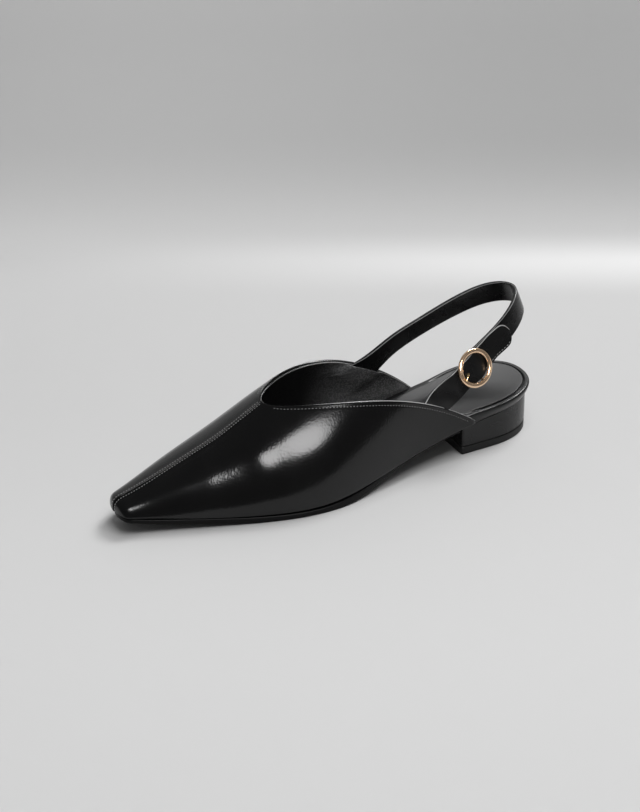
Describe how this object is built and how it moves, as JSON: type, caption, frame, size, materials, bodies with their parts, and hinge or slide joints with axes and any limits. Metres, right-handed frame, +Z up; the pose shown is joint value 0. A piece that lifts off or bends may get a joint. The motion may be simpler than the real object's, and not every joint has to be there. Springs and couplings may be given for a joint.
{
  "type": "slingback pump",
  "caption": "Left slingback pump with a pointed toe, open heel, low block heel and a heel strap closed by a round buckle.",
  "frame": {"origin": "centre of the bounding box on the floor, under the sole", "axes": "+X from toe to heel, +Y to the medial side, +Z up from the floor"},
  "size_m": [0.2584, 0.0751, 0.0856],
  "materials": {
    "upper_leather": "polished smooth black",
    "sock_leather": "matte dark grey, fine grain",
    "sole_rubber": "matte black",
    "heel_leather": "satin black wrap",
    "heel_rubber": "matte black",
    "strap_leather": "satin black",
    "buckle_metal": "polished rose gold",
    "prong_metal": "polished yellow gold"
  },
  "bodies": {
    "root": {"upper": "upper_leather", "insole": "sock_leather", "outsole": "sole_rubber", "heel": "heel_leather", "heel_top_piece": "heel_rubber", "back_strap": "strap_leather", "buckle_strap": "strap_leather", "buckle": "buckle_metal", "buckle_prong": "prong_metal"}
  },
  "joints": []
}
